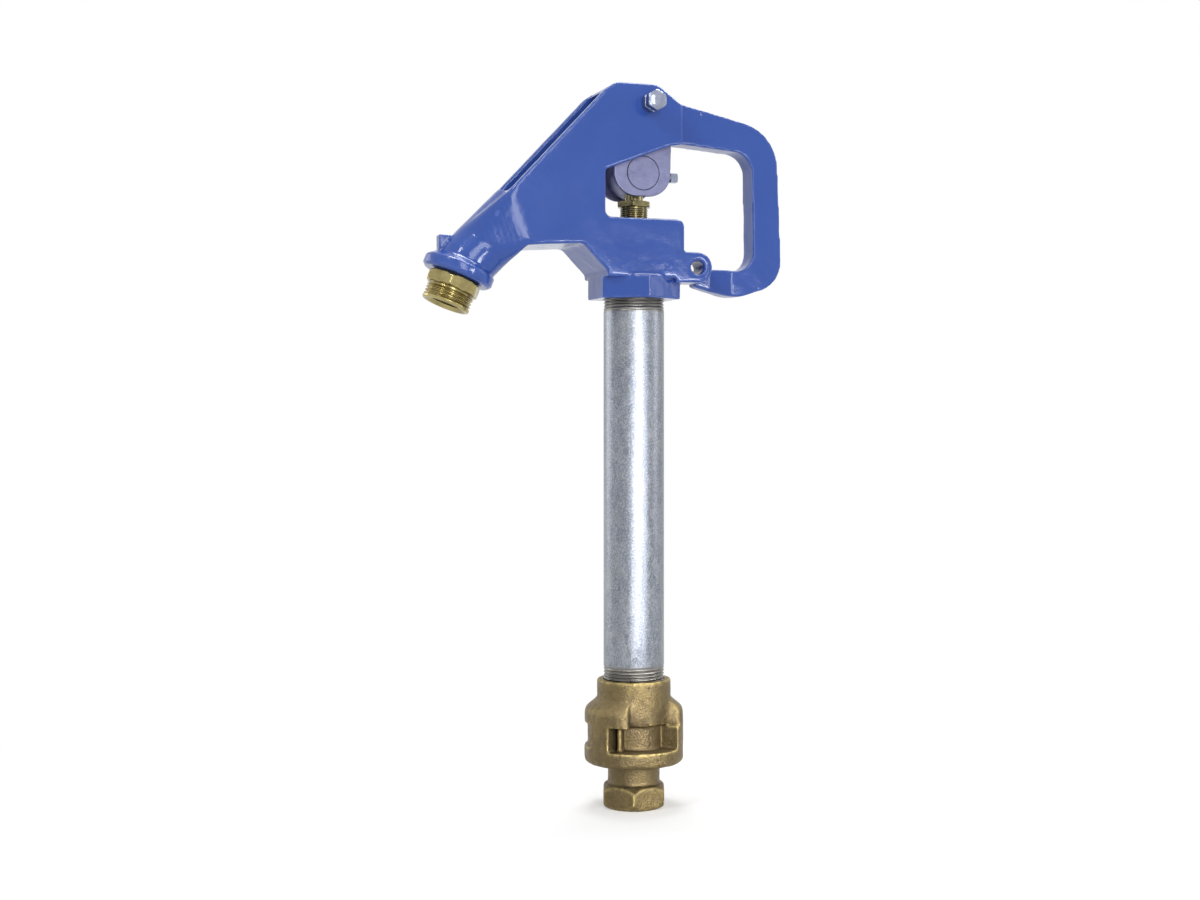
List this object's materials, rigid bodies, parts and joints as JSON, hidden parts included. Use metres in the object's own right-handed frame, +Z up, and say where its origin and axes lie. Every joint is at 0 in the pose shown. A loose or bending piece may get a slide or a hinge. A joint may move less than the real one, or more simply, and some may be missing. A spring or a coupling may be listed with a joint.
{
  "type": "garden standpipe",
  "caption": "Lever-operated frost-proof garden standpipe: cast head with downturned hose spout, D-shaped lifting lever, galvanised riser and a brass foot valve that drains when shut.",
  "frame": {"origin": "on the riser's axis, at the bottom face of the inlet", "axes": "+Z up along the riser, -X towards the spout, +X towards the lever's handle, -Y towards the side with the pivot bolt's head"},
  "size_m": [0.2583, 0.0767, 0.4987],
  "materials": {
    "blue_enamel": "glossy blue enamel over rough cast iron",
    "plated_steel": "bright zinc plating",
    "link_steel": "satin plated steel plate",
    "turned_brass": "turned yellow brass",
    "cast_brass": "sand-cast brass, rough and dull",
    "galvanised_steel": "hot-dip galvanised with spangle",
    "black_rubber": "moulded black rubber"
  },
  "bodies": {
    "standpipe": {"head_casting": "blue_enamel", "pivot_bolt": "plated_steel", "pivot_jam_nut": "plated_steel", "pivot_lock_washer": "plated_steel", "pivot_rear_washer": "plated_steel", "pivot_rear_nut": "plated_steel", "packing_nut": "turned_brass", "packing_rings": "black_rubber", "packing_washer": "turned_brass", "hose_nozzle": "turned_brass", "nozzle_gasket": "black_rubber", "riser_pipe": "galvanised_steel", "valve_body": "cast_brass", "valve_seat": "turned_brass"},
    "lever": {"lever": "blue_enamel", "lever_bush": "turned_brass", "link_pin": "link_steel"},
    "operating_rod": {"crosshead": "link_steel", "crosshead_set_screw": "plated_steel", "operating_stem": "turned_brass", "rod_coupling": "turned_brass", "pull_rod": "plated_steel", "plunger_body": "turned_brass", "plunger_seals": "black_rubber", "plunger_rubber": "black_rubber", "plunger_washer": "turned_brass", "plunger_screw": "turned_brass", "plunger_lock_nut": "turned_brass"},
    "link": {"link_plate_front": "link_steel", "link_plate_rear": "link_steel"}
  },
  "joints": [
    {"name": "lever_lift", "type": "hinge", "parent": "standpipe", "child": "lever", "pos_m": [0.0028, 0, 0.4857], "axis": [0, -1, 0], "range_deg": [0, 60]},
    {"name": "rod_rise", "type": "slide", "parent": "standpipe", "child": "operating_rod", "axis": [0, 0, 1], "range_m": [0, 0.02064]},
    {"name": "link_swing", "type": "hinge", "parent": "operating_rod", "child": "link", "pos_m": [0, 0, 0.4385], "axis": [0, 1, 0], "range_deg": [0, 17.6]}
  ],
  "couplings": [
    {"joint": "rod_rise", "follows": "lever_lift", "m_per_rad": 0.019702},
    {"joint": "link_swing", "follows": "lever_lift", "ratio": 0.29312}
  ]
}
